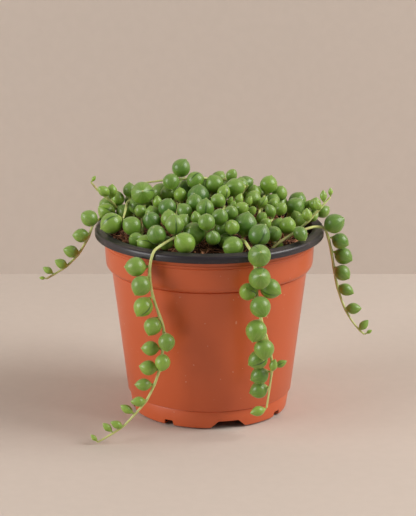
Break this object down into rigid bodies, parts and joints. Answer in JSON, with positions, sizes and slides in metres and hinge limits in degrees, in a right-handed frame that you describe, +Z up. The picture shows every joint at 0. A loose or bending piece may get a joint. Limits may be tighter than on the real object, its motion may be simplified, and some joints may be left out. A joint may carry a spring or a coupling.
{
  "type": "potted trailing succulent",
  "caption": "Trailing succulent with round pearl leaves on thin stems, heaped over and hanging from a round tapered nursery pot with a turned lip and drain notches.",
  "frame": {"origin": "centre of the pot's foot, on the surface that it stands on", "axes": "+Z up along the pot's axis; the side with two long hanging strands faces -Y; +X is to the right seen from that side"},
  "size_m": [0.1734, 0.139, 0.1304],
  "materials": {
    "pot": "satin terracotta outside, black inside and on the turned lip",
    "soil": "rough coco fibre",
    "plant": "waxy satin"
  },
  "bodies": {
    "root": {"back_1": "plant", "back_2": "plant", "back_3": "plant", "back_4": "plant", "back_5": "plant", "back_6": "plant", "back_7": "plant", "back_8": "plant", "back_9": "plant", "centre_left": "plant", "centre_right": "plant", "crown": "plant", "front_left_trail": "plant", "front_right_trail": "plant", "inner_left": "plant", "inner_right": "plant", "left_front": "plant", "left_middle": "plant", "left_shoulder": "plant", "left_tip": "plant", "left_trail": "plant", "pot": "pot", "right_edge": "plant", "right_front": "plant", "right_middle": "plant", "right_shoulder": "plant", "right_tip": "plant", "right_trail": "plant", "small_middle": "plant", "soil": "soil"}
  },
  "joints": []
}
